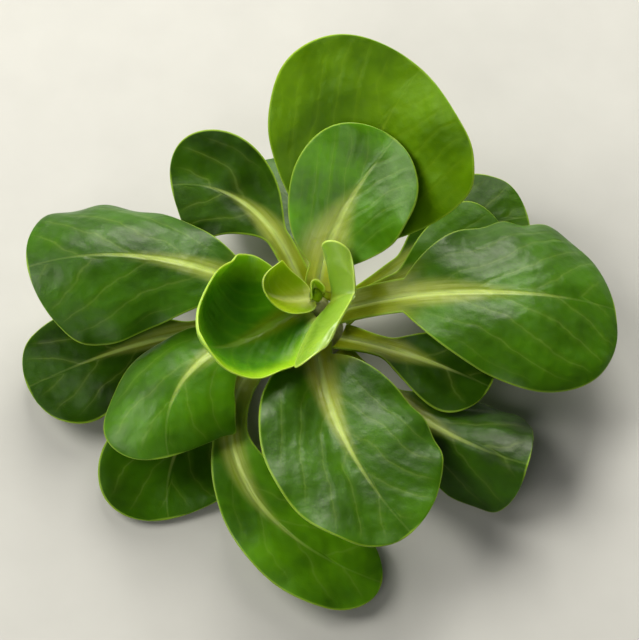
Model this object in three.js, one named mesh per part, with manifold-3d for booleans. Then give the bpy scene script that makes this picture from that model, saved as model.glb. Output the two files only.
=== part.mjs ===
// Lamb's lettuce rosette standing on its cut crown.
// Millimetres, +Z up, origin at the middle of the cut root face.
// Every leaf is one closed solid: a pale stalk that widens into a rounded blade.
import * as THREE from 'three';
import { mergeVertices } from 'three/addons/utils/BufferGeometryUtils.js';
import Module from 'manifold-3d';

const wasm = await Module();
wasm.setup();

// Mesh fineness of a leaf: rows from foot to tip, columns on each side of the midrib.
const ROWS = 16;
const COLUMNS = 4;

// Leaf thickness at the midrib foot and along the rim.
const RIB_THICKNESS = 1.5;
const RIM_THICKNESS = 0.7;

// Half the opening angle of the stalk's channel, degrees.
const CHANNEL = 22;

// Crown outline: radius and height pairs from the cut root face to the growing tip.
const CROWN_PROFILE = [
  [0, 0],
  [4.2, 0],
  [4.6, 0.6],
  [5.3, 1.6],
  [5.3, 4],
  [4.6, 6],
  [3.9, 8.2],
  [3.3, 10.6],
  [2.6, 12.6],
  [1.8, 14.2],
  [1.2, 15],
  [0, 15.2],
];
const CROWN_SIDES = 28;

// Core of the heart, radius and height pairs.
const CORE_PROFILE = [
  [0, 15.5],
  [0.8, 15.6],
  [1.3, 16.4],
  [1.2, 17.6],
  [0.7, 18.6],
  [0, 19],
];

const rad = THREE.MathUtils.degToRad;

// Quadratic blend of a start, a middle and an end value.
function blend([start, middle, end], s) {
  const r = 1 - s;
  return start * r * r + 2 * middle * s * r + end * s * s;
}

// Smooth step from 0 at lo to 1 at hi.
function ease(x, lo, hi) {
  return THREE.MathUtils.smoothstep(x, lo, hi);
}

// Half the width of a leaf at s: the stalk and the blade outline added as a right-angled pair.
function halfWidth(leaf, s) {
  const { neck, taper, round } = leaf;
  const u = Math.max(0, (s - neck) / (1 - neck));
  const outline = (x) => Math.pow(x, taper) * Math.sqrt(Math.max(0, 1 - Math.pow(x, round)));
  const widest = Math.pow((2 * taper) / (2 * taper + round), 1 / round);
  const blade = ((leaf.width / 2) * outline(u)) / outline(widest);
  const [foot, top] = leaf.stalk;
  const stalk = (foot + (top - foot) * ease(s, 0, 0.25)) / 2;
  return Math.hypot(stalk * Math.sqrt(Math.max(0, 1 - s ** 4)), blade);
}

// Direction of the midrib at s from its pitch and its bearing.
function direction(leaf, s) {
  const pitch = rad(blend(leaf.rise, s));
  const bearing = rad(leaf.turn + blend([0, leaf.sway[0], leaf.sway[1]], s));
  return {
    bearing,
    along: new THREE.Vector3(
      Math.cos(pitch) * Math.cos(bearing),
      Math.cos(pitch) * Math.sin(bearing),
      Math.sin(pitch),
    ),
  };
}

// Points of the midrib, found by adding up small steps along its direction.
function midrib(leaf, stations) {
  const [radius, height] = leaf.foot;
  const start = rad(leaf.turn);
  const point = new THREE.Vector3(radius * Math.cos(start), radius * Math.sin(start), height);
  const steps = 200;
  const path = [point.clone()];
  for (let i = 0; i < steps; i += 1) {
    const { along } = direction(leaf, (i + 0.5) / steps);
    point.addScaledVector(along, leaf.length / steps);
    path.push(point.clone());
  }
  return stations.map((s) => {
    const at = Math.min(steps - 1, Math.floor(s * steps));
    return path[at].clone().lerp(path[at + 1], s * steps - at);
  });
}

// Middle surface of a leaf as rows of points, from the right rim to the left rim.
function middleSurface(leaf, rows, columns) {
  const stations = Array.from({ length: rows + 1 }, (_, i) => Math.sin((Math.PI / 2) * (i / rows)));
  const spine = midrib(leaf, stations);
  const grid = [];
  const ups = [];
  stations.forEach((s, i) => {
    const { bearing, along } = direction(leaf, s);
    const level = new THREE.Vector3(-Math.sin(bearing), Math.cos(bearing), 0);
    const above = new THREE.Vector3().crossVectors(along, level);
    const roll = rad(leaf.roll[0] + (leaf.roll[1] - leaf.roll[0]) * ease(s, 0, 0.9));
    const side = level.clone().multiplyScalar(Math.cos(roll)).addScaledVector(above, Math.sin(roll));
    const up = above.clone().multiplyScalar(Math.cos(roll)).addScaledVector(level, -Math.sin(roll));
    const blade = ease(s, leaf.neck - 0.1, leaf.neck + 0.3);
    const row = new Array(2 * columns + 1);
    row[columns] = spine[i].clone();
    for (const hand of [1, -1]) {
      const [fold, edge] = hand > 0 ? leaf.left : leaf.right;
      const share = 1 + (leaf.share[hand > 0 ? 0 : 1] - 1) * blade;
      const width = halfWidth(leaf, s) * share;
      let out = 0;
      let lift = 0;
      for (let j = 1; j <= columns; j += 1) {
        const across = (((j - 0.5) / columns) * width) / (leaf.width / 2);
        const angle = rad(CHANNEL * (1 - blade) + (fold + (edge - fold) * across) * blade);
        out += (Math.cos(angle) * width) / columns;
        lift += (Math.sin(angle) * width) / columns;
        row[columns + hand * j] = spine[i].clone().addScaledVector(side, hand * out).addScaledVector(up, lift);
      }
    }
    grid.push(row);
    ups.push(up);
  });
  return { stations, grid, ups };
}

// Closed solid of a leaf: upper and lower face, side walls and the cut at its foot.
function leafGeometry(leaf) {
  const { stations, grid, ups } = middleSurface(leaf, ROWS, COLUMNS);
  const width = 2 * COLUMNS + 1;
  const positions = [];
  const upper = [];
  const lower = [];
  const along = new THREE.Vector3();
  const across = new THREE.Vector3();
  const normal = new THREE.Vector3();
  for (const [face, sign] of [[upper, 1], [lower, -1]]) {
    grid.forEach((row, i) => {
      const indices = [];
      row.forEach((point, j) => {
        if (i === ROWS && j > 0) {
          indices.push(indices[0]);
          return;
        }
        if (i === ROWS) {
          normal.copy(ups[i]);
        } else {
          along.subVectors(grid[i + 1][j], grid[Math.max(0, i - 1)][j]);
          across.subVectors(row[Math.min(width - 1, j + 1)], row[Math.max(0, j - 1)]);
          normal.crossVectors(along, across).normalize();
        }
        const t = (j - COLUMNS) / COLUMNS;
        const fade = 1 - ease(stations[i], 0.1, 0.95);
        const rib = (RIB_THICKNESS - RIM_THICKNESS) * fade * Math.exp(-((t / 0.55) ** 2));
        const vertex = point.clone().addScaledVector(normal, (sign * (RIM_THICKNESS + rib)) / 2);
        indices.push(positions.length / 3);
        positions.push(vertex.x, vertex.y, vertex.z);
      });
      face.push(indices);
    });
  }
  const triangles = [];
  const quad = (a, b, c, d) => {
    if (a !== b && b !== c && a !== c) triangles.push(a, b, c);
    if (a !== c && c !== d && a !== d) triangles.push(a, c, d);
  };
  const last = width - 1;
  for (let i = 0; i < ROWS; i += 1) {
    for (let j = 0; j < last; j += 1) {
      quad(upper[i][j], upper[i + 1][j], upper[i + 1][j + 1], upper[i][j + 1]);
      quad(lower[i][j], lower[i][j + 1], lower[i + 1][j + 1], lower[i + 1][j]);
    }
    quad(upper[i][0], lower[i][0], lower[i + 1][0], upper[i + 1][0]);
    quad(upper[i][last], upper[i + 1][last], lower[i + 1][last], lower[i][last]);
  }
  for (let j = 0; j < last; j += 1) {
    quad(upper[0][j], upper[0][j + 1], lower[0][j + 1], lower[0][j]);
  }
  const geometry = new THREE.BufferGeometry();
  geometry.setAttribute('position', new THREE.Float32BufferAttribute(positions, 3));
  geometry.setIndex(triangles);
  return geometry;
}

// Turned solid about the vertical axis from radius and height pairs.
function turned(profile, sides) {
  const points = profile.map(([radius, height]) => new THREE.Vector2(radius, height));
  return new THREE.LatheGeometry(points, sides).rotateX(Math.PI / 2);
}

// A closed geometry as a solid that can be joined.
function toSolid(geometry) {
  const bare = geometry.clone();
  bare.deleteAttribute('normal');
  bare.deleteAttribute('uv');
  const merged = mergeVertices(bare, 1e-4);
  return new wasm.Manifold(
    new wasm.Mesh({
      numProp: 3,
      vertProperties: new Float32Array(merged.attributes.position.array),
      triVerts: new Uint32Array(merged.index.array),
    }),
  );
}

// The joined solid back as a geometry.
function toGeometry(solid) {
  const mesh = solid.getMesh();
  const geometry = new THREE.BufferGeometry();
  geometry.setAttribute('position', new THREE.Float32BufferAttribute(mesh.vertProperties, 3));
  geometry.setIndex(new THREE.Uint32BufferAttribute(mesh.triVerts, 1));
  return geometry;
}

// What most leaves share. Each leaf below gives its bearing on the crown in degrees (turn), the radius and
// height of its foot, its length and blade width, the pitch of the midrib at foot, middle and tip (rise),
// how far the midrib swings sideways (sway), and how each half of the blade leans at midrib and rim.
const COMMON = {
  sway: [0, 0],
  roll: [0, 0],
  neck: 0.3,
  stalk: [6.5, 5],
  left: [10, -10],
  right: [10, -10],
  taper: 0.95,
  round: 2.4,
  share: [1, 1],
};

// Outer ring, lying low
const OUTER_LEAVES = {
  leaf_front_long: {
    turn: 210,
    foot: [6.2, 3.6],
    length: 70,
    width: 21.5,
    rise: [10, 5, -18],
    sway: [97, 138],
    neck: 0.36,
    stalk: [6.5, 7],
    left: [6, -23],
    right: [12, -10],
    share: [0.94, 0.87],
    taper: 0.83,
    round: 2.4,
    colour: 0x3f7a1c,
  },
  leaf_front_left_low: {
    turn: 212,
    foot: [6.3, 1.5],
    length: 46,
    width: 27,
    rise: [3, 2, -6],
    sway: [10, 70],
    left: [8, 0],
    right: [8, 5],
    colour: 0x2f5f17,
  },
  leaf_left_low: {
    turn: 184,
    foot: [5.8, 6.2],
    length: 52,
    width: 24,
    rise: [6, 0, -12],
    sway: [12, 20],
    neck: 0.35,
    left: [8, -10],
    right: [12, -18],
    colour: 0x2f5f17,
  },
  leaf_front_right_folded: {
    turn: -52,
    foot: [6.3, 1.8],
    length: 49,
    width: 28,
    rise: [20, 20, 2],
    sway: [2, 34],
    neck: 0.35,
    left: [0, -50],
    right: [-45, -85],
    share: [1, 1],
    colour: 0x356a1a,
  },
  leaf_rear_low: {
    turn: 95,
    foot: [6.3, 2.4],
    length: 36,
    width: 28,
    rise: [20, 2, -22],
    colour: 0x2f5f17,
  },
  leaf_right_rear_low: {
    turn: 36,
    foot: [6.3, 2.4],
    length: 43,
    width: 25,
    rise: [22, 12, -10],
    sway: [0, -25],
    neck: 0.35,
    colour: 0x4f8a1c,
  },
};

// Middle pairs, rising from the crown and arching over
const MIDDLE_LEAVES = {
  leaf_rear_left: {
    turn: 110,
    foot: [5.7, 5.2],
    length: 39,
    width: 24,
    rise: [27, 9, -2],
    sway: [10, 80],
    neck: 0.35,
    left: [10, -30],
    right: [20, 20],
    colour: 0x3b741f,
  },
  leaf_right_rear: {
    turn: 23,
    foot: [5.6, 6],
    length: 36,
    width: 25,
    rise: [21, 6, -3],
    sway: [0, -8],
    neck: 0.35,
    colour: 0x4c861d,
  },
  leaf_right_lower: {
    turn: -28,
    foot: [5.8, 4.4],
    length: 33,
    width: 17,
    rise: [26, 18, -2],
    left: [20, 10],
    colour: 0x2f5f17,
  },
  leaf_rear_broad: {
    turn: 70,
    foot: [5.1, 8],
    length: 50,
    width: 44,
    rise: [53, 45, 38],
    sway: [-5, -28],
    neck: 0.22,
    left: [12, 5],
    right: [12, 5],
    taper: 0.7,
    round: 2,
    share: [1.05, 1],
    colour: 0x5b9a1d,
  },
  leaf_front_left: {
    turn: 206,
    foot: [5, 8.2],
    length: 43,
    width: 27,
    rise: [28, 12, -25],
    sway: [0, 80],
    neck: 0.25,
    left: [0, -35],
    right: [10, -45],
    colour: 0x417d20,
  },
  leaf_right: {
    turn: -2,
    foot: [4.5, 10.5],
    length: 57,
    width: 39,
    rise: [32, 12.5, -40],
    sway: [-3, 8],
    neck: 0.25,
    stalk: [7.5, 8],
    left: [0, -34],
    right: [15, -34],
    taper: 0.6,
    share: [1.15, 1],
    round: 2.3,
    colour: 0x478522,
  },
  leaf_left: {
    turn: 168,
    foot: [4.5, 10.6],
    length: 54,
    width: 35,
    rise: [34, 20, -16],
    sway: [4, 24],
    neck: 0.22,
    stalk: [7.5, 8],
    left: [0, -45],
    right: [5, -55],
    taper: 0.85,
    colour: 0x3f7a1e,
  },
};

// Inner pairs round the heart
const INNER_LEAVES = {
  leaf_front_round: {
    turn: -91,
    foot: [4, 12],
    length: 52,
    width: 33,
    rise: [20, 7, -9],
    sway: [20, 44],
    neck: 0.18,
    stalk: [7.5, 5.5],
    left: [7, -25],
    right: [30, 12],
    taper: 0.5,
    round: 1.85,
    share: [1, 1.03],
    colour: 0x458420,
  },
  leaf_upper_round: {
    turn: 81,
    foot: [3.6, 13.3],
    length: 34,
    width: 26.5,
    rise: [55, 44, 29],
    sway: [-43, -35],
    neck: 0.15,
    stalk: [6, 5],
    left: [18, 16],
    right: [10, 4],
    taper: 0.6,
    round: 1.75,
    share: [0.97, 0.97],
    colour: 0x4c8b26,
  },
  leaf_cup_left: {
    turn: 215,
    foot: [2.4, 14.8],
    length: 35,
    width: 37,
    rise: [9, 10, 92],
    neck: 0,
    stalk: [5, 8],
    left: [-10, 75],
    right: [19, 105],
    taper: 0.42,
    round: 1.75,
    share: [0.64, 1],
    sway: [17, -2],
    colour: 0x5a9c22,
  },
  leaf_cup_right: {
    turn: -27,
    foot: [3.65, 16.4],
    length: 7.1,
    width: 31,
    rise: [71, 62, 21],
    neck: 0,
    stalk: [4, 6],
    left: [32, 92],
    right: [12, 35],
    taper: 0.8,
    round: 2.35,
    share: [0.66, 1.34],
    sway: [30, 10],
    colour: 0x6fae2b,
  },
};

// Smallest leaves, grown together with the core of the heart
const HEART_LEAVES = [
  {
    turn: 202,
    foot: [0.5, 16.3],
    length: 17,
    width: 16,
    rise: [12, 34, 104],
    sway: [-3, -28],
    neck: 0,
    stalk: [3, 3],
    left: [5, 60],
    right: [14, 70],
    taper: 0.5,
    round: 2,
    share: [0.6, 0.9],
  },
  {
    turn: 120,
    foot: [0.4, 16.6],
    length: 5,
    width: 5,
    rise: [75, 70, 110],
    neck: 0,
    stalk: [3, 3],
    left: [20, 75],
    right: [20, 75],
    taper: 0.5,
    round: 2.6,
  },
];

// Adds one named piece with a material of its own.
function addPiece(name, geometry, colour, roughness) {
  const material = new THREE.MeshStandardMaterial({ color: colour, roughness, metalness: 0 });
  const mesh = new THREE.Mesh(geometry, material);
  mesh.name = name;
  rosette.add(mesh);
}

const rosette = new THREE.Group();
rosette.name = 'lambs_lettuce';

addPiece('crown', turned(CROWN_PROFILE, CROWN_SIDES), 0xc9cf9a, 0.7);

let heart = toSolid(turned(CORE_PROFILE, 14));
for (const leaf of HEART_LEAVES) {
  heart = heart.add(toSolid(leafGeometry({ ...COMMON, ...leaf })));
}
addPiece('heart_leaves', toGeometry(heart), 0x9cc43c, 0.5);

for (const group of [OUTER_LEAVES, MIDDLE_LEAVES, INNER_LEAVES]) {
  for (const [name, leaf] of Object.entries(group)) {
    addPiece(name, leafGeometry({ ...COMMON, ...leaf }), leaf.colour, 0.45);
  }
}

export default rosette;
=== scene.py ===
"""Lamb's lettuce rosette, looked down on from the front.

Lengths in the tables are millimetres and angles are degrees; lamps, camera and meshes are in metres. A leaf
is a surface of two parameters: s runs from 0 at its foot on the crown to 1 at its tip, and t from -1 at the
right rim over 0 on the midrib to 1 at the left rim.
"""
import math
import bpy
import numpy as np
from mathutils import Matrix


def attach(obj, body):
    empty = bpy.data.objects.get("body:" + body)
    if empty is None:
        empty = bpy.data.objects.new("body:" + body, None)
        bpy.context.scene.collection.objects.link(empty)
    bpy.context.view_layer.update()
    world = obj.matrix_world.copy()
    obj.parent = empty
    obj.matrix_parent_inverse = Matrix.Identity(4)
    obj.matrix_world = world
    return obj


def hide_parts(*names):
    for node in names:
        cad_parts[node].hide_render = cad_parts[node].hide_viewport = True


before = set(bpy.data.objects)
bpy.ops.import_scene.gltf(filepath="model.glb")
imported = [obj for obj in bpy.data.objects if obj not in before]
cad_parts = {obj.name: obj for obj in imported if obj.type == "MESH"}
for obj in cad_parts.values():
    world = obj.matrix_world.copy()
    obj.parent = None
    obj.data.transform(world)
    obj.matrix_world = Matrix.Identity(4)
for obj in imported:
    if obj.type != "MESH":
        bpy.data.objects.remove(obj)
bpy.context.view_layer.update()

# Floor, light and camera
# A plain pale laminate table top under soft light: a large lamp low behind glances off the leaves and shines
# through the standing ones, with a key from the left and a faint fill from the front. The camera looks
# down at 60 degrees, as the photo's does.


def linear(hex_colour):
    """sRGB hex colour as linear RGBA."""
    parts = [int(hex_colour[i:i + 2], 16) / 255 for i in (1, 3, 5)]
    return [c / 12.92 if c <= 0.04045 else ((c + 0.055) / 1.055) ** 2.4 for c in parts] + [1.0]


def add(tree, kind, inputs=None, out=None, **settings):
    """Adds a node with its settings, feeds its inputs with values or outputs, and returns one output."""
    made = tree.nodes.new("ShaderNode" + kind)
    for key, value in settings.items():
        setattr(made, key, value)
    for socket, source in (inputs or {}).items():
        if isinstance(source, bpy.types.NodeSocket):
            tree.links.new(source, made.inputs[socket])
        else:
            made.inputs[socket].default_value = source
    if not made.outputs:
        return made
    return made.outputs[out] if out else next(socket for socket in made.outputs if socket.enabled)


def empty_material(name):
    """A named material with an empty node tree."""
    made = bpy.data.materials.new(name)
    made.use_nodes = True
    made.node_tree.nodes.clear()
    return made, made.node_tree


# Matt laminate: even, with a faint mottle of 10 mm.
paint, tree = empty_material("pale_matt_laminate")
place = add(tree, "TexCoord", out="Object")
mottle = add(tree, "TexNoise", {"Vector": place, "Scale": 90.0, "Detail": 4.0})
tint = add(tree, "Mix", {"Factor": mottle, "A": linear("#bdbcbe"), "B": linear("#c7c6c8")}, data_type="RGBA")
surface = add(tree, "BsdfPrincipled", {"Base Color": tint, "Roughness": 0.75})
add(tree, "OutputMaterial", {"Surface": surface})

bpy.ops.mesh.primitive_plane_add(size=3.0, location=(0, 0, 0))
floor = bpy.context.active_object
floor.name = "table_top"
floor.data.materials.append(paint)

WARM_WHITE = (1.0, 0.98, 0.84)
LAMPS_AIM = (0, 0, 0.02)


def lamp(name, size, power, place, aim):
    """A square area lamp of a size in metres and a power in watts, turned to face a point: tipped by the
    angle between the vertical and the line from the point to the lamp, and turned by that line's bearing."""
    made = bpy.data.lights.new(name, "AREA")
    made.color = WARM_WHITE
    made.size = size
    made.energy = power
    holder = bpy.data.objects.new(name, made)
    bpy.context.scene.collection.objects.link(holder)
    away = np.array(place) - np.array(aim)
    length = np.linalg.norm(away)
    holder.location = place
    holder.rotation_euler = (math.acos(away[2] / length), 0, math.atan2(away[1], away[0]) + math.pi / 2)
    return holder


lamp("back_lamp", 0.4, 6.0, (0.05, 0.57, 0.42), LAMPS_AIM)
lamp("left_key", 0.45, 4.5, (-0.5, 0.12, 0.5), LAMPS_AIM)
lamp("front_fill", 0.4, 1.5, (-0.25, -0.6, 0.6), LAMPS_AIM)

world = bpy.data.worlds.new("soft_room")
bpy.context.scene.world = world
world.use_nodes = True
sky = world.node_tree.nodes["Background"]
sky.inputs["Color"].default_value = (1.0, 1.0, 0.98, 1)
sky.inputs["Strength"].default_value = 0.06

AIM = np.array([0.0007, -0.0046, 0.0154])
CAMERA_DISTANCE = 0.55
CAMERA_PITCH = math.radians(60)
CAMERA_LENS = 161.6
camera_data = bpy.data.cameras.new("camera")
camera_data.lens = CAMERA_LENS
camera_data.clip_start = 0.01
camera = bpy.data.objects.new("camera", camera_data)
bpy.context.scene.collection.objects.link(camera)
towards_camera = np.array([0, -math.cos(CAMERA_PITCH), math.sin(CAMERA_PITCH)])
camera.location = AIM + towards_camera * CAMERA_DISTANCE
camera.rotation_euler = (math.pi / 2 - CAMERA_PITCH, 0, 0)
bpy.context.scene.camera = camera
bpy.context.scene.view_settings.view_transform = "Standard"

# Outer ring of leaves
# The oldest leaves, and the darkest: fleshy, waxy blades lying low on long stalks that grow from the foot
# of the crown, one of them folded down along its midrib. Their dark greens are partly their age and partly
# painted shade, darkest on the leaves that lie in the shade of others. Each stands for its frame node, in
# the same form, as a fine mesh with rim, rib, quilting and veins.


def blend(values, s):
    """Quadratic blend: start (1 - s)^2 + 2 middle s (1 - s) + end s^2."""
    start, middle, end = values
    return start * (1 - s) ** 2 + 2 * middle * s * (1 - s) + end * s ** 2


def ease(x, low, high):
    """Smooth step from 0 at low to 1 at high: u^2 (3 - 2 u), where u is the share of the way."""
    u = np.clip((x - low) / (high - low), 0, 1)
    return u * u * (3 - 2 * u)


def half_width(leaf, s):
    """Half the width at s. The blade is u^taper sqrt(1 - u^round), where u runs from 0 at the neck to 1 at
    the tip, scaled to half the leaf's width where it is widest. The stalk's half width goes smoothly from
    its foot to its end and closes at the tip. The two are added as a right-angled pair."""
    neck, taper, roundness = leaf["neck"], leaf["taper"], leaf["round"]
    u = np.clip((s - neck) / (1 - neck), 0, 1)
    widest = (2 * taper / (2 * taper + roundness)) ** (1 / roundness)
    top = widest ** taper * math.sqrt(1 - widest ** roundness)
    blade = leaf["width"] / 2 * u ** taper * np.sqrt(np.clip(1 - u ** roundness, 0, 1)) / top
    foot, end = leaf["stalk"]
    stalk = (foot + (end - foot) * ease(s, 0, 0.25)) / 2 * np.sqrt(np.clip(1 - s ** 4, 0, 1))
    return np.hypot(stalk, blade)


def heading(leaf, s):
    """Pitch and bearing of the midrib at s, in radians: the blend of the rise, and the turn plus the blend
    of the sway, which starts at 0."""
    pitch = np.radians(blend(leaf["rise"], s))
    bearing = np.radians(leaf["turn"] + blend((0, *leaf["sway"]), s))
    return pitch, bearing


def unit_step(pitch, bearing):
    """Unit vectors along a pitch and a bearing: (cos p cos b, cos p sin b, sin p)."""
    return np.stack([np.cos(pitch) * np.cos(bearing), np.cos(pitch) * np.sin(bearing), np.sin(pitch)], 1)


MIDRIB_STEPS = 400
CHANNEL = 22  # degrees that each half of a stalk rises from its middle


def leaf_surface(leaf, rows, columns):
    """Middle surface on a grid of rows + 1 by 2 columns + 1 points, which crowd towards the tip and the rim.
    The midrib is the sum of equal steps along its heading. Each half is the sum of steps across it, whose
    angle is the fold at the midrib plus the way to the edge angle times the distance over half the leaf's
    width; the fold grows from the midrib outwards, which rounds the crease. Along the stalk the angle
    is the channel's instead."""
    s = np.sin(np.pi / 2 * np.linspace(0, 1, rows + 1))
    step = unit_step(*heading(leaf, (np.arange(MIDRIB_STEPS) + 0.5) / MIDRIB_STEPS))
    radius, height = leaf["foot"]
    turn = math.radians(leaf["turn"])
    foot = np.array([radius * math.cos(turn), radius * math.sin(turn), height])
    path = foot + np.vstack([np.zeros(3), np.cumsum(step, 0) * leaf["length"] / MIDRIB_STEPS])
    path_s = np.linspace(0, 1, MIDRIB_STEPS + 1)
    spine = np.stack([np.interp(s, path_s, path[:, k]) for k in range(3)], 1)
    pitch, bearing = heading(leaf, s)
    side = np.stack([-np.sin(bearing), np.cos(bearing), 0 * s], 1)
    up = np.cross(unit_step(pitch, bearing), side)
    blade = ease(s, leaf["neck"] - 0.1, leaf["neck"] + 0.3)
    j = np.linspace(0, 1, columns + 1)
    t = 0.5 * j + 0.5 * np.sin(np.pi / 2 * j)
    middle = (t[1:] + t[:-1]) / 2
    halves = []
    sides = (1, *leaf["left"], leaf["share"][0]), (-1, *leaf["right"], leaf["share"][1])
    for hand, fold, edge, share in sides:
        width = half_width(leaf, s) * (1 + (share - 1) * blade)
        distance = middle[None, :] * width[:, None]
        grown = ease(distance, -0.6, 1 + leaf["rounding"] * s[:, None])
        lean = fold * grown + (edge - fold) * distance / (leaf["width"] / 2)
        angle = np.radians(CHANNEL * (1 - blade[:, None]) + lean * blade[:, None])
        part = np.diff(t)[None, :] * width[:, None]
        out = np.cumsum(np.cos(angle) * part, 1)
        lift = np.cumsum(np.sin(angle) * part, 1)
        points = spine[:, None] + hand * out[..., None] * side[:, None] + lift[..., None] * up[:, None]
        halves.append((points, width[:, None] * t[None, 1:]))
    (left, left_mm), (right, right_mm) = halves
    grid = np.concatenate([right[:, ::-1], spine[:, None], left], 1)
    across = np.concatenate([-right_mm[:, ::-1], 0 * s[:, None], left_mm], 1)
    t_row = np.concatenate([-t[:0:-1], [0], t[1:]])
    return s, t_row, grid, across, blade, up


# At x mm from the midrib a side vein has run forward by slope x + arch x^2 mm, and it wanders a little.
VEIN_SLOPE = 1.3
VEIN_ARCH = 0.035
VEIN_WANDER = 1.2


def leaf_fields(leaf, s, across, rim, blade):
    """What the leaf skin reads at each point. vein counts the side veins, which lie on its whole numbers:
    the length less the vein's run forward, over the gap between veins, half a gap apart on the two sides.
    pale is the stalk and the flame it sends up the midrib, rib the distance from the midrib in half widths
    of the rib, rib_reach how much of the rib is left, and veined where the side veins show."""
    x = np.abs(across)
    y = s[:, None] * leaf["length"]
    reach = s[:, None] + 0 * across
    neck = leaf["neck"]
    wander = VEIN_WANDER * np.sin(0.3 * x + y * 0.13 + leaf["turn"])
    vein = (y - VEIN_SLOPE * x - VEIN_ARCH * x ** 2 + wander) / leaf["vein_gap"]
    flame = leaf["flame"] - (leaf["flame"] - 0.4) * ease(reach, neck, 0.8)
    flame = (1 - ease(x / flame, 0.2, 1.15)) * (0.9 - 0.9 * ease(reach, neck, 0.85))
    stalk = 1 - ease(reach, neck * 0.6, neck + 0.1)
    return {
        "vein": vein + 0.5 * (across > 0),
        "pale": np.maximum(stalk, flame),
        "rib": x / (1.2 - 0.95 * ease(reach, 0.1, 0.95)),
        "rib_reach": 1 - 0.92 * ease(reach, 0.45, 0.88),
        "whitening": ease(reach, 0.12, neck + 0.1),
        "rim_mm": rim,
        "veined": blade[:, None] * ease(rim, 0.5, 5),
        "across_mm": across,
        "along_mm": y + 0 * across,
    }


BLADE = 0.5  # mm thick between the ribs
RIB = 0.95  # mm more at the foot of the midrib
RIM_SHARE = 0.35  # share of the thickness that is left at the rim
TIP = 0.25  # mm thick at the tip's last point
SWELL = 0.05  # mm that the blade rises between two side veins
WAVE = 0.22  # mm of each of the two slow waves in the blade


def raised(leaf, s, t_abs, across, blade, fields):
    """How far the blade stands off its middle surface, in mm: the swell, a cosine of the vein count; two
    slow sine waves; the frill, a sine along the rim times t^3; less the flare, which eases in from halfway
    to the rim. All of it fades in with the blade and out at the tip."""
    length_mm = s[:, None] * leaf["length"]
    seed = leaf["turn"] * 0.11
    swell = np.cos(2 * np.pi * fields["vein"]) * -SWELL * ease(t_abs, 0.05, 0.3) * fields["veined"]
    wave = np.sin(length_mm * 0.32 + across * 0.21 + seed)
    wave = (wave + np.sin(length_mm * 0.19 - across * 0.36 + 2 * seed)) * WAVE
    frill = np.sin(length_mm * 0.55 + 3 * seed + 2.2 * (across > 0)) * t_abs ** 3 * leaf["frill"]
    frill = frill - leaf["flare"] * ease(t_abs, 0.5, 1.15) * ease(s, 0.1, 0.5)[:, None]
    tip_calm = 1 - ease(s, 0.9, 1.0)[:, None]
    return (swell + wave * t_abs ** 0.5 + frill) * blade[:, None] * tip_calm


def leaf_arrays(leaf, rows=112, columns=26):
    """Points, faces and material fields of one closed leaf. The two faces lie half the thickness along the
    normal on each side of the raised middle surface. The thickness is the blade's plus the rib's, which
    falls off as a bell curve of t and fades towards the tip, times a rim that rounds off as
    sqrt(1 - t^14). Strips close the rim and the foot, and two fans close the tip."""
    s, t, grid, across, blade, up = leaf_surface(leaf, rows, columns)
    normal = np.cross(np.gradient(grid, axis=0), np.gradient(grid, axis=1))
    normal[-1] = up[-1]
    normal /= np.linalg.norm(normal, axis=-1, keepdims=True)
    t_abs = np.abs(t)[None, :]
    half = half_width(leaf, s)[:, None] + 0 * across
    rim = np.minimum((1 - t_abs) * half, (1 - s[:, None]) * leaf["length"])
    fields = leaf_fields(leaf, s, across, rim, blade)
    grid = grid + normal * raised(leaf, s, t_abs, across, blade, fields)[..., None]
    rib = RIB * (1 - ease(s, 0.1, 0.95)[:, None]) * np.exp(-(t_abs / 0.5) ** 2)
    rounding = RIM_SHARE + (1 - RIM_SHARE) * np.sqrt(1 - t_abs ** 14)
    thickness = leaf["stout"] * (BLADE + rib) * rounding
    thickness[-1] = TIP
    faces_up = grid + normal * thickness[..., None] / 2
    faces_down = grid - normal * thickness[..., None] / 2
    tip_up, tip_down = faces_up[-1, columns], faces_down[-1, columns]
    points = np.concatenate([faces_up[:-1].reshape(-1, 3), faces_down[:-1].reshape(-1, 3),
                             tip_up[None], tip_down[None]])

    width = 2 * columns + 1
    count = rows * width
    top = np.arange(count).reshape(rows, width)
    under = top + count
    strips = [
        (top[:-1, :-1], top[1:, :-1], top[1:, 1:], top[:-1, 1:]),
        (under[:-1, :-1], under[:-1, 1:], under[1:, 1:], under[1:, :-1]),
        (top[:-1, 0], under[:-1, 0], under[1:, 0], top[1:, 0]),
        (top[:-1, -1], top[1:, -1], under[1:, -1], under[:-1, -1]),
        (top[0, :-1], top[0, 1:], under[0, 1:], under[0, :-1]),
    ]
    quads = np.concatenate([np.stack(corners, -1).reshape(-1, 4) for corners in strips])
    above, below = top[-1], under[-1]
    tips = 2 * count, 2 * count + 1
    fan_up = np.stack([above[:-1], np.full(width - 1, tips[0]), above[1:]], -1)
    fan_down = np.stack([below[:-1], below[1:], np.full(width - 1, tips[1])], -1)
    ends = np.array([[above[0], below[0], tips[1]], [above[0], tips[1], tips[0]],
                     [above[-1], tips[0], tips[1]], [above[-1], tips[1], below[-1]]])
    faces = [quads, np.concatenate([fan_up, fan_down, ends])]

    flat = {}
    for key, values in fields.items():
        body = values[:-1].reshape(-1)
        tip = values[-1, columns]
        flat[key] = np.concatenate([body, body, [tip, tip]])
    flat["underside"] = np.concatenate([np.zeros(count), np.ones(count), [0, 1]])
    return points, faces, flat


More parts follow.
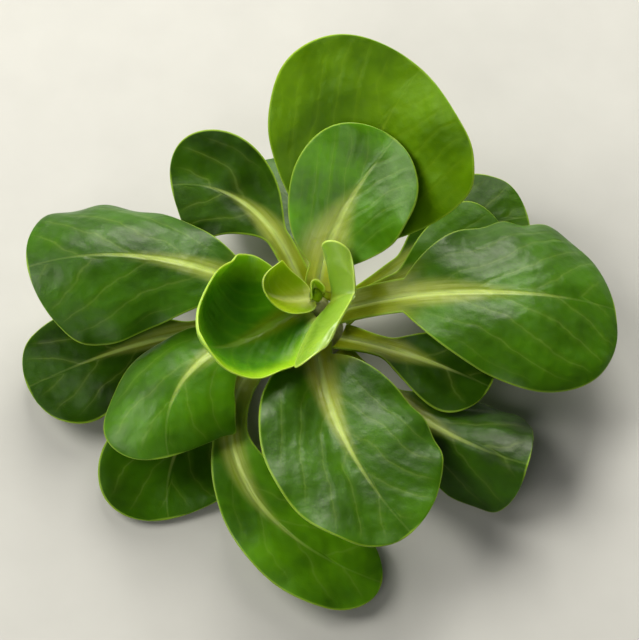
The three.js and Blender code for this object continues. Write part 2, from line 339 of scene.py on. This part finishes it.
def build_piece(name, shells, material):
    """One object at the origin from closed shells, smooth shaded, with its fields as attributes. Each shell
    numbers its own points from 0, so its faces are moved on by the number of points before it."""
    faces = []
    start = 0
    for points, parts, _ in shells:
        for part in parts:
            faces.extend((part + start).tolist())
        start += len(points)
    mesh = bpy.data.meshes.new(name)
    mesh.from_pydata((np.concatenate([points for points, _, _ in shells]) / 1000).tolist(), [], faces)
    for key in shells[0][2]:
        values = np.concatenate([fields[key] for _, _, fields in shells]).astype(np.float32)
        mesh.attributes.new(key, "FLOAT", "POINT").data.foreach_set("value", values)
    mesh.polygons.foreach_set("use_smooth", np.ones(len(mesh.polygons), bool))
    mesh.materials.append(material)
    mesh.update()
    piece = bpy.data.objects.new(name, mesh)
    bpy.context.scene.collection.objects.link(piece)
    return piece


def leaf_skin(name, leaf):
    """Fresh lamb's lettuce leaf: a waxy satin skin over soft green flesh that lets light through. Yellow
    green stalk with fine pale streaks, a pale midrib, side veins seen mostly as shallow furrows, a thin rim
    painted bright as a highlight of the light its edge catches, a lighter margin band that on cupped leaves
    also paints the shade inside the cup, and a paler, duller underside."""
    made, tree = empty_material(name)
    place = add(tree, "TexCoord", out="Object")
    vein = add(tree, "Attribute", out="Fac", attribute_name="vein")
    pale = add(tree, "Attribute", out="Fac", attribute_name="pale")
    rib = add(tree, "Attribute", out="Fac", attribute_name="rib")
    rib_reach = add(tree, "Attribute", out="Fac", attribute_name="rib_reach")
    whitening = add(tree, "Attribute", out="Fac", attribute_name="whitening")
    rim = add(tree, "Attribute", out="Fac", attribute_name="rim_mm")
    veined = add(tree, "Attribute", out="Fac", attribute_name="veined")
    under = add(tree, "Attribute", out="Fac", attribute_name="underside")
    across = add(tree, "Attribute", out="Fac", attribute_name="across_mm")
    along = add(tree, "Attribute", out="Fac", attribute_name="along_mm")

    # Clouds of 12 mm, quilting of 7 mm, puckers of 2.6 mm between the smallest veins, a grain of 0.4 mm.
    cloud = add(tree, "TexNoise", {"Vector": place, "Scale": 85.0, "Detail": 3.0, "Roughness": 0.55})
    quilt = add(tree, "TexNoise", {"Vector": place, "Scale": 145.0, "Detail": 2.0, "Roughness": 0.5})
    pucker = add(tree, "TexNoise", {"Vector": place, "Scale": 380.0, "Detail": 3.0, "Roughness": 0.6})
    grain = add(tree, "TexNoise", {"Vector": place, "Scale": 2500.0, "Detail": 2.0, "Roughness": 0.7})

    # Streaks of 0.7 mm across and 17 mm along the stalk.
    streak_place = add(tree, "CombineXYZ", {"X": across, "Y": along})
    streak_place = add(tree, "Mapping", {"Vector": streak_place, "Scale": (1.4, 0.06, 1.0)})
    streak = add(tree, "TexNoise", {"Vector": streak_place, "Scale": 1.0, "Detail": 3.0, "Roughness": 0.6})

    # Side veins: a furrow about 2 mm wide with a faint pale line of 0.5 mm in it.
    bent = add(tree, "Math", {0: cloud, 1: 1.1, 2: vein}, operation="MULTIPLY_ADD")
    from_vein = add(tree, "Math", {0: bent, 1: 0.5}, operation="PINGPONG")
    furrow = add(tree, "MapRange", {"Value": from_vein, "From Max": 0.26, "To Min": 1.0, "To Max": 0.0},
                 interpolation_type="SMOOTHSTEP")
    furrow = add(tree, "Math", {0: furrow, 1: veined}, operation="MULTIPLY")
    line = add(tree, "MapRange", {"Value": from_vein, "From Min": 0.01, "From Max": 0.06, "To Min": 1.0,
                                  "To Max": 0.0}, interpolation_type="SMOOTHSTEP")
    line = add(tree, "Math", {0: line, 1: veined}, operation="MULTIPLY")
    midrib = add(tree, "MapRange", {"Value": rib, "From Min": 0.3, "From Max": 1.1, "To Min": 1.0,
                                    "To Max": 0.0}, interpolation_type="SMOOTHSTEP")

    green = add(tree, "MapRange", {"Value": cloud, "From Min": 0.36, "From Max": 0.66})
    green = add(tree, "Mix", {"Factor": green, "A": linear(leaf["deep"]), "B": linear(leaf["green"])},
                data_type="RGBA")
    # Margin band: the light colour fills in over the last 8 mm to the rim, by the leaf's margin amount. On
    # the cup leaves this is partly their young margin and partly painted shade, which leaves the hollow
    # inside the cup darker.
    amount = add(tree, "MapRange", {"Value": rim, "From Max": 8.0, "To Min": leaf["margin"], "To Max": 0.0},
                 interpolation_type="SMOOTHSTEP")
    green = add(tree, "Mix", {"Factor": amount, "A": green, "B": linear(leaf["light"])}, data_type="RGBA")
    amount = add(tree, "Math", {0: furrow, 1: 0.05}, operation="MULTIPLY")
    green = add(tree, "Mix", {"Factor": amount, "A": green, "B": linear(leaf["light"])}, data_type="RGBA")
    amount = add(tree, "Math", {0: line, 1: 0.055}, operation="MULTIPLY")
    green = add(tree, "Mix", {"Factor": amount, "A": green, "B": linear(leaf["vein"])}, data_type="RGBA")
    amount = add(tree, "MapRange", {"Value": streak, "From Min": 0.25, "From Max": 0.85})
    amount = add(tree, "Math", {0: amount, 1: whitening}, operation="MULTIPLY")
    stalk = add(tree, "Mix", {"Factor": amount, "A": linear(leaf["stalk_colour"]),
                              "B": linear(leaf["streak"])}, data_type="RGBA")
    amount = add(tree, "Math", {0: pale, 1: 0.92}, operation="MULTIPLY")
    colour = add(tree, "Mix", {"Factor": amount, "A": green, "B": stalk}, data_type="RGBA")
    midrib = add(tree, "Math", {0: midrib, 1: rib_reach}, operation="MULTIPLY")
    amount = add(tree, "Math", {0: midrib, 1: 0.8}, operation="MULTIPLY")
    colour = add(tree, "Mix", {"Factor": amount, "A": colour, "B": linear(leaf["vein"])}, data_type="RGBA")
    # Painted highlight: the outer 0.1 to 0.5 mm of the rim turns to the rim colour, standing in for the
    # light that the thin edge catches.
    amount = add(tree, "MapRange", {"Value": rim, "From Min": 0.1, "From Max": 0.5, "To Min": 0.75,
                                    "To Max": 0.0}, interpolation_type="SMOOTHSTEP")
    colour = add(tree, "Mix", {"Factor": amount, "A": colour, "B": linear(leaf["rim"])}, data_type="RGBA")
    amount = add(tree, "Math", {0: under, 1: 0.4}, operation="MULTIPLY")
    colour = add(tree, "Mix", {"Factor": amount, "A": colour, "B": linear(leaf["dull"])}, data_type="RGBA")

    # The wax is patchy: glossier where the skin is stretched over a pucker, duller on the underside.
    rough = add(tree, "MapRange", {"Value": pucker, "From Min": 0.3, "From Max": 0.7, "To Min": 0.44,
                                   "To Max": 0.31})
    rough = add(tree, "Math", {0: under, 1: 0.2, 2: rough}, operation="MULTIPLY_ADD")
    height = add(tree, "Math", {0: quilt, 1: 1.5}, operation="MULTIPLY")
    height = add(tree, "Math", {0: furrow, 1: -0.1, 2: height}, operation="MULTIPLY_ADD")
    height = add(tree, "Math", {0: pucker, 1: 0.2, 2: height}, operation="MULTIPLY_ADD")
    height = add(tree, "Math", {0: grain, 1: 0.03, 2: height}, operation="MULTIPLY_ADD")
    height = add(tree, "Math", {0: midrib, 1: -0.22, 2: height}, operation="MULTIPLY_ADD")
    ridges = add(tree, "Math", {0: streak, 1: pale}, operation="MULTIPLY")
    height = add(tree, "Math", {0: ridges, 1: 0.15, 2: height}, operation="MULTIPLY_ADD")
    normal = add(tree, "Bump", {"Height": height, "Distance": 0.0006, "Strength": 0.8})
    surface = add(tree, "BsdfPrincipled", {
        "Base Color": colour, "Roughness": rough, "Normal": normal, "IOR": 1.45, "Subsurface Weight": 0.5,
        "Subsurface Radius": (0.9, 1.0, 0.08), "Subsurface Scale": 0.0014,
        "Specular IOR Level": leaf["gloss"],
    })
    add(tree, "OutputMaterial", {"Surface": surface})
    return made


# What a leaf is given in the tables, over the common values.
# foot: radius and height of its foot on the crown. turn, rise, sway: the midrib's bearing at the foot, its
# pitch, and how far its bearing has swung at the middle and the end. neck: where on the length the blade
# starts. stalk: its width at the foot and the end. left, right: the fold beside the midrib and the angle at
# the rim. share: width of each half against an even one. taper, round: the blade's outline.
# rounding: mm by which the rounding of the midrib's crease widens towards the tip. frill: mm that the rim
# waves. flare: mm that the margin rolls back. stout: how thick it is against the others. vein_gap: mm
# between side veins. flame: mm from the midrib to the edge of its pale flame. margin: how much of the
# light colour the margin of 8 mm takes; on the cup leaves this lighter band with a darker inside is partly
# their young margin and partly painted shade in the cup's hollow. gloss: strength of the sheen. The rest
# are colours: the blade's clouds run from deep to green, and light is that of its margin and furrows; then
# its veins, its stalk and the streaks in it, its rim, which is a painted highlight of the light caught by
# the thin edge, and the dull underside.
COMMON = {
    "sway": (0, 0), "neck": 0.3, "stalk": (6.5, 5), "left": (10, -10), "right": (10, -10), "taper": 0.95,
    "round": 2.4, "share": (1, 1), "rounding": 5, "frill": 0.35, "flare": 0, "stout": 1, "vein_gap": 9.5,
    "flame": 3.4, "margin": 0, "gloss": 0.24, "deep": "#305604", "green": "#4a7806", "light": "#94ac34",
    "vein": "#bccf74", "stalk_colour": "#8c9a14", "streak": "#c8d07e", "rim": "#88a834", "dull": "#86a45c",
}

OUTER = {
    "leaf_front_long": {
        "turn": 210, "foot": (6.2, 3.6), "length": 70, "width": 21.5, "rise": (10, 5, -18),
        "sway": (97, 138), "neck": 0.36, "stalk": (6.5, 7), "left": (6, -23), "right": (12, -10),
        "taper": 0.83, "share": (0.94, 0.87), "deep": "#396505", "green": "#5d950a",
    },
    "leaf_front_left_low": {
        "turn": 212, "foot": (6.3, 1.5), "length": 46, "width": 27, "rise": (3, 2, -6), "sway": (10, 70),
        "left": (8, 0), "right": (8, 5), "deep": "#294a03", "green": "#3a6706", "gloss": 0.12,
    },
    "leaf_left_low": {
        "turn": 184, "foot": (5.8, 6.2), "length": 52, "width": 24, "rise": (6, 0, -12), "sway": (12, 20),
        # Darkest greens: painted shade, for a leaf that lies in the shade of others.
        "neck": 0.35, "left": (8, -10), "right": (12, -18), "deep": "#1a3202", "green": "#2b4f03",
        "gloss": 0.08,
    },
    "leaf_front_right_folded": {
        "turn": -52, "foot": (6.3, 1.8), "length": 49, "width": 28, "rise": (20, 20, 2), "sway": (2, 34),
        "neck": 0.35, "left": (0, -50), "right": (-45, -85), "rounding": 1, "deep": "#223e02",
        "green": "#366104", "gloss": 0.2,
    },
    "leaf_rear_low": {
        "turn": 95, "foot": (6.3, 2.4), "length": 36, "width": 28, "rise": (20, 2, -22), "deep": "#2a4c03",
        "green": "#3c6a06", "gloss": 0.22,
    },
    "leaf_right_rear_low": {
        "turn": 36, "foot": (6.3, 2.4), "length": 43, "width": 25, "rise": (22, 12, -10), "sway": (0, -25),
        # Darker greens: painted shade, for a leaf that lies in the shade of others.
        "neck": 0.35, "deep": "#2a4c02", "green": "#416a05", "gloss": 0.08,
    },
}


def build_leaves(table):
    """Builds each leaf of a table in place of its frame node."""
    for name, values in table.items():
        leaf = {**COMMON, **values}
        piece = build_piece("fine_" + name, [leaf_arrays(leaf)], leaf_skin("waxy_skin_" + name, leaf))
        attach(piece, "root")
        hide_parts(name)


build_leaves(OUTER)

# Middle pairs of leaves
# Full-grown leaves of the same waxy flesh, which rise in pairs from the middle of the crown and arch over.
# The broad one at the rear stands up and lets the light through; the left and the right one have long
# pale channelled stalks.

MIDDLE = {
    "leaf_rear_left": {
        "turn": 110, "foot": (5.7, 5.2), "length": 39, "width": 24, "rise": (27, 9, -2), "sway": (10, 80),
        # Darkest greens: painted shade, for a leaf that lies in the shade of others.
        "neck": 0.35, "left": (10, -30), "right": (20, 20), "deep": "#1c3601", "green": "#305403",
        "gloss": 0.1,
    },
    "leaf_right_rear": {
        "turn": 23, "foot": (5.6, 6), "length": 36, "width": 25, "rise": (21, 6, -3), "sway": (0, -8),
        "neck": 0.35, "deep": "#386103", "green": "#508007", "gloss": 0.08,
    },
    "leaf_right_lower": {
        "turn": -28, "foot": (5.8, 4.4), "length": 33, "width": 17, "rise": (26, 18, -2), "left": (20, 10),
        # Darkest greens: painted shade, for a leaf that lies in the shade of others.
        "deep": "#1c3602", "green": "#2e5304", "gloss": 0.08,
    },
    "leaf_rear_broad": {
        "turn": 70, "foot": (5.1, 8), "length": 50, "width": 44, "rise": (53, 45, 38), "sway": (-5, -28),
        "neck": 0.22, "left": (12, 5), "right": (12, 5), "taper": 0.7, "round": 2, "share": (1.05, 1),
        "deep": "#476c02", "green": "#658e06", "light": "#98b830", "gloss": 0.08, "vein": "#8fb024",
    },
    "leaf_front_left": {
        "turn": 206, "foot": (5, 8.2), "length": 43, "width": 27, "rise": (28, 12, -25), "sway": (0, 80),
        "neck": 0.25, "left": (0, -35), "right": (10, -45), "deep": "#335d03", "green": "#4d8206",
    },
    "leaf_right": {
        "turn": -2, "foot": (4.5, 10.5), "length": 57, "width": 39, "rise": (32, 12.5, -40),
        "sway": (-3, 8), "neck": 0.25, "stalk": (7.5, 8), "left": (0, -34), "right": (15, -34),
        "taper": 0.6, "round": 2.3, "share": (1.15, 1), "deep": "#315703", "green": "#467706", "flame": 4.2,
    },
    "leaf_left": {
        "turn": 168, "foot": (4.5, 10.6), "length": 54, "width": 35, "rise": (34, 20, -16), "sway": (4, 24),
        "neck": 0.22, "stalk": (7.5, 8), "left": (0, -45), "right": (5, -55), "taper": 0.85,
        "deep": "#274b02", "green": "#3c6a04",
    },
}
build_leaves(MIDDLE)

# Inner pairs of leaves
# The round leaf above the heart and the broad one in front of it, then the pair of young leaves rolled
# into cups round the growing tip. They are thin, tender, brighter and smoother than the rest, and grow
# from the top of the crown.

INNER = {
    "leaf_front_round": {
        "turn": -91, "foot": (4, 12), "length": 52, "width": 33, "rise": (20, 7, -9), "sway": (20, 44),
        "neck": 0.18, "stalk": (7.5, 5.5), "left": (7, -25), "right": (30, 12), "taper": 0.5, "round": 1.85,
        "share": (1, 1.03), "deep": "#2c5202", "green": "#437205", "flame": 4.2,
        # Stalk and streak colours brighter than the others': painted light that lifts the shadow the cup
        # leaves cast on this stalk.
        "stalk_colour": "#b0b42a", "streak": "#e2e690",
    },
    "leaf_upper_round": {
        "turn": 81, "foot": (3.6, 13.3), "length": 34, "width": 26.5, "rise": (55, 44, 29),
        "sway": (-43, -35), "neck": 0.15, "stalk": (6, 5), "left": (18, 16), "right": (10, 4), "taper": 0.6,
        "round": 1.75, "share": (0.97, 0.97), "deep": "#417003", "green": "#609d0b", "vein_gap": 6,
        # Bright stalk colours: partly its own wide cream base and partly painted light against the shade the
        # heart leaves cast there.
        "gloss": 0.34, "flame": 7, "stalk_colour": "#c0c844", "streak": "#e6eaa0",
    },
    "leaf_cup_left": {
        "turn": 215, "foot": (2.4, 14.8), "length": 35, "width": 37, "rise": (9, 10, 92), "sway": (17, -2),
        "neck": 0, "stalk": (5, 8), "left": (-10, 75), "right": (19, 105), "taper": 0.42, "round": 1.75,
        # Its dark deep greens and full margin band leave the inside of the cup dark: painted shade in the
        # hollow, with a lighter young margin at the rim.
        "share": (0.64, 1), "rounding": 0, "flare": 0.8, "frill": 0.15, "vein_gap": 6, "margin": 1,
        "deep": "#356d04", "green": "#55940a", "light": "#98c61c", "vein": "#7ba030", "rim": "#bfe060",
    },
    "leaf_cup_right": {
        "turn": -27, "foot": (3.65, 16.4), "length": 7.1, "width": 31, "rise": (71, 62, 21),
        "sway": (30, 10), "neck": 0, "stalk": (4, 6), "left": (32, 92), "right": (12, 35), "taper": 0.8,
        "round": 2.35, "share": (0.66, 1.34), "rounding": 0, "flare": 2.6, "frill": 0.12, "deep": "#5a880c",
        "green": "#7aa41c", "light": "#a8c850", "vein": "#a0c048", "margin": 0.5, "vein_gap": 5,
        "rim": "#c6e36a", "gloss": 0.6,
    },
}
build_leaves(INNER)

# Heart
# The growing tip: two tiny cupped leaves, thin and bright yellow green, that grow together with the soft
# core of the crown's top, so they are one piece.

HEART = (
    {"turn": 202, "foot": (0.5, 16.3), "length": 17, "width": 16, "rise": (12, 34, 104), "sway": (-3, -28),
     "neck": 0, "stalk": (3, 3), "left": (5, 60), "right": (14, 70), "taper": 0.5, "round": 2,
     "share": (0.6, 0.9), "frill": 0.08, "vein_gap": 4},
    {"turn": 120, "foot": (0.4, 16.6), "length": 5, "width": 5, "rise": (75, 70, 110), "neck": 0,
     "stalk": (3, 3), "left": (20, 75), "right": (20, 75), "taper": 0.5, "round": 2.6, "frill": 0.0,
     "vein_gap": 3},
)
# What the two heart leaves share: bright colours, thin blades and creases that aren't rounded.
HEART_COMMON = {
    "deep": "#86a80a", "green": "#aac414", "light": "#bccb40", "vein": "#d3de84", "stalk_colour": "#b9c04a",
    "streak": "#dfe09a", "rim": "#c4de6a", "stout": 0.6, "rounding": 0,
}


def turned_arrays(profile, sides, wobble=0.0):
    """Closed turned solid on a grid of heights by sides. The radius is read off the profile's straight
    pieces, 8 steps each, times 1 plus the wobble times two sines of the angle, of 5 and of 11 flutes, the
    second of which comes and goes with the height. A fan closes each end."""
    profile = np.array(profile, float)
    steps = np.linspace(0, len(profile) - 1, 8 * (len(profile) - 1) + 1)
    radius = np.interp(steps, np.arange(len(profile)), profile[:, 0])[1:-1]
    height = np.interp(steps, np.arange(len(profile)), profile[:, 1])[1:-1]
    angle = np.linspace(0, 2 * np.pi, sides, endpoint=False)
    ripple = 1 + wobble * (np.sin(5 * angle + 1)[None, :] + 0.7 * np.sin(11 * angle)[None, :]
                           * np.sin(height * 1.7)[:, None])
    rings = np.stack([radius[:, None] * np.cos(angle) * ripple, radius[:, None] * np.sin(angle) * ripple,
                      height[:, None] + 0 * ripple], -1)
    count = len(radius)
    index = np.arange(count * sides).reshape(count, sides)
    following = np.roll(index, -1, 1)
    quads = np.stack([index[:-1], following[:-1], following[1:], index[1:]], -1).reshape(-1, 4)
    low, high = np.full(sides, count * sides), np.full(sides, count * sides + 1)
    caps = np.concatenate([np.stack([low, following[0], index[0]], -1),
                           np.stack([high, index[-1], following[-1]], -1)])
    points = np.concatenate([rings.reshape(-1, 3), [[0, 0, profile[0, 1]], [0, 0, profile[-1, 1]]]])
    return points, [quads, caps]


# Radius and height of the core, from its underside to its top.
HEART_CORE = [(0, 15.5), (0.8, 15.6), (1.3, 16.4), (1.2, 17.6), (0.7, 18.6), (0, 19)]

heart_leaves = [{**COMMON, **HEART_COMMON, **values} for values in HEART]
shells = [leaf_arrays(leaf, 80, 18) for leaf in heart_leaves]
core_points, core_faces = turned_arrays(HEART_CORE, 32)
core_fields = {key: np.full(len(core_points), 5.0 if key == "rim_mm" else 0.0) for key in shells[0][2]}
shells.append((core_points, core_faces, core_fields))
heart = build_piece("fine_heart_leaves", shells, leaf_skin("waxy_skin_heart_leaves", heart_leaves[0]))
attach(heart, "root")
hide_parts("heart_leaves")

# Crown
# The short stem of moist flesh that carries the leaves, which grow from it all round. Cream green above,
# browned and fibrous at the root face where it was cut, on which the rosette stands.

# Radius and height, from the cut face to the top.
CROWN = [(0, 0), (4.2, 0), (4.6, 0.6), (5.3, 1.6), (5.3, 4), (4.6, 6), (3.9, 8.2), (3.3, 10.6), (2.6, 12.6),
         (1.8, 14.2), (1.2, 15), (0, 15.2)]

# Moist stem flesh: cream green with fine upright fibres 0.6 mm wide, browner towards the dried cut.
flesh, tree = empty_material("moist_stem_flesh")
place = add(tree, "TexCoord", out="Object")
rise = add(tree, "SeparateXYZ", {"Vector": place}, out="Z")
upright = add(tree, "Mapping", {"Vector": place, "Scale": (1, 1, 0.12)})
fibre = add(tree, "TexNoise", {"Vector": upright, "Scale": 1600.0, "Detail": 3.0})
blotch = add(tree, "TexNoise", {"Vector": place, "Scale": 350.0, "Detail": 3.0})
fresh = add(tree, "MapRange", {"Value": rise, "From Min": 0.0002, "From Max": 0.004})
fresh = add(tree, "Math", {0: fresh, 1: blotch, 2: 0.1}, operation="MULTIPLY_ADD")
base = add(tree, "Mix", {"Factor": fresh, "A": linear("#8d7a4a"), "B": linear("#b8c278")}, data_type="RGBA")
base = add(tree, "Mix", {"Factor": fibre, "A": base, "B": linear("#dadba4")}, data_type="RGBA")
normal = add(tree, "Bump", {"Height": fibre, "Distance": 0.0003, "Strength": 0.7})
surface = add(tree, "BsdfPrincipled", {
    "Base Color": base, "Roughness": 0.5, "Normal": normal, "Subsurface Weight": 0.3,
    "Subsurface Radius": (1.0, 0.9, 0.5), "Subsurface Scale": 0.001,
})
add(tree, "OutputMaterial", {"Surface": surface})
crown = build_piece("fine_crown", [(*turned_arrays(CROWN, 96, 0.012), {})], flesh)
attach(crown, "root")
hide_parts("crown")
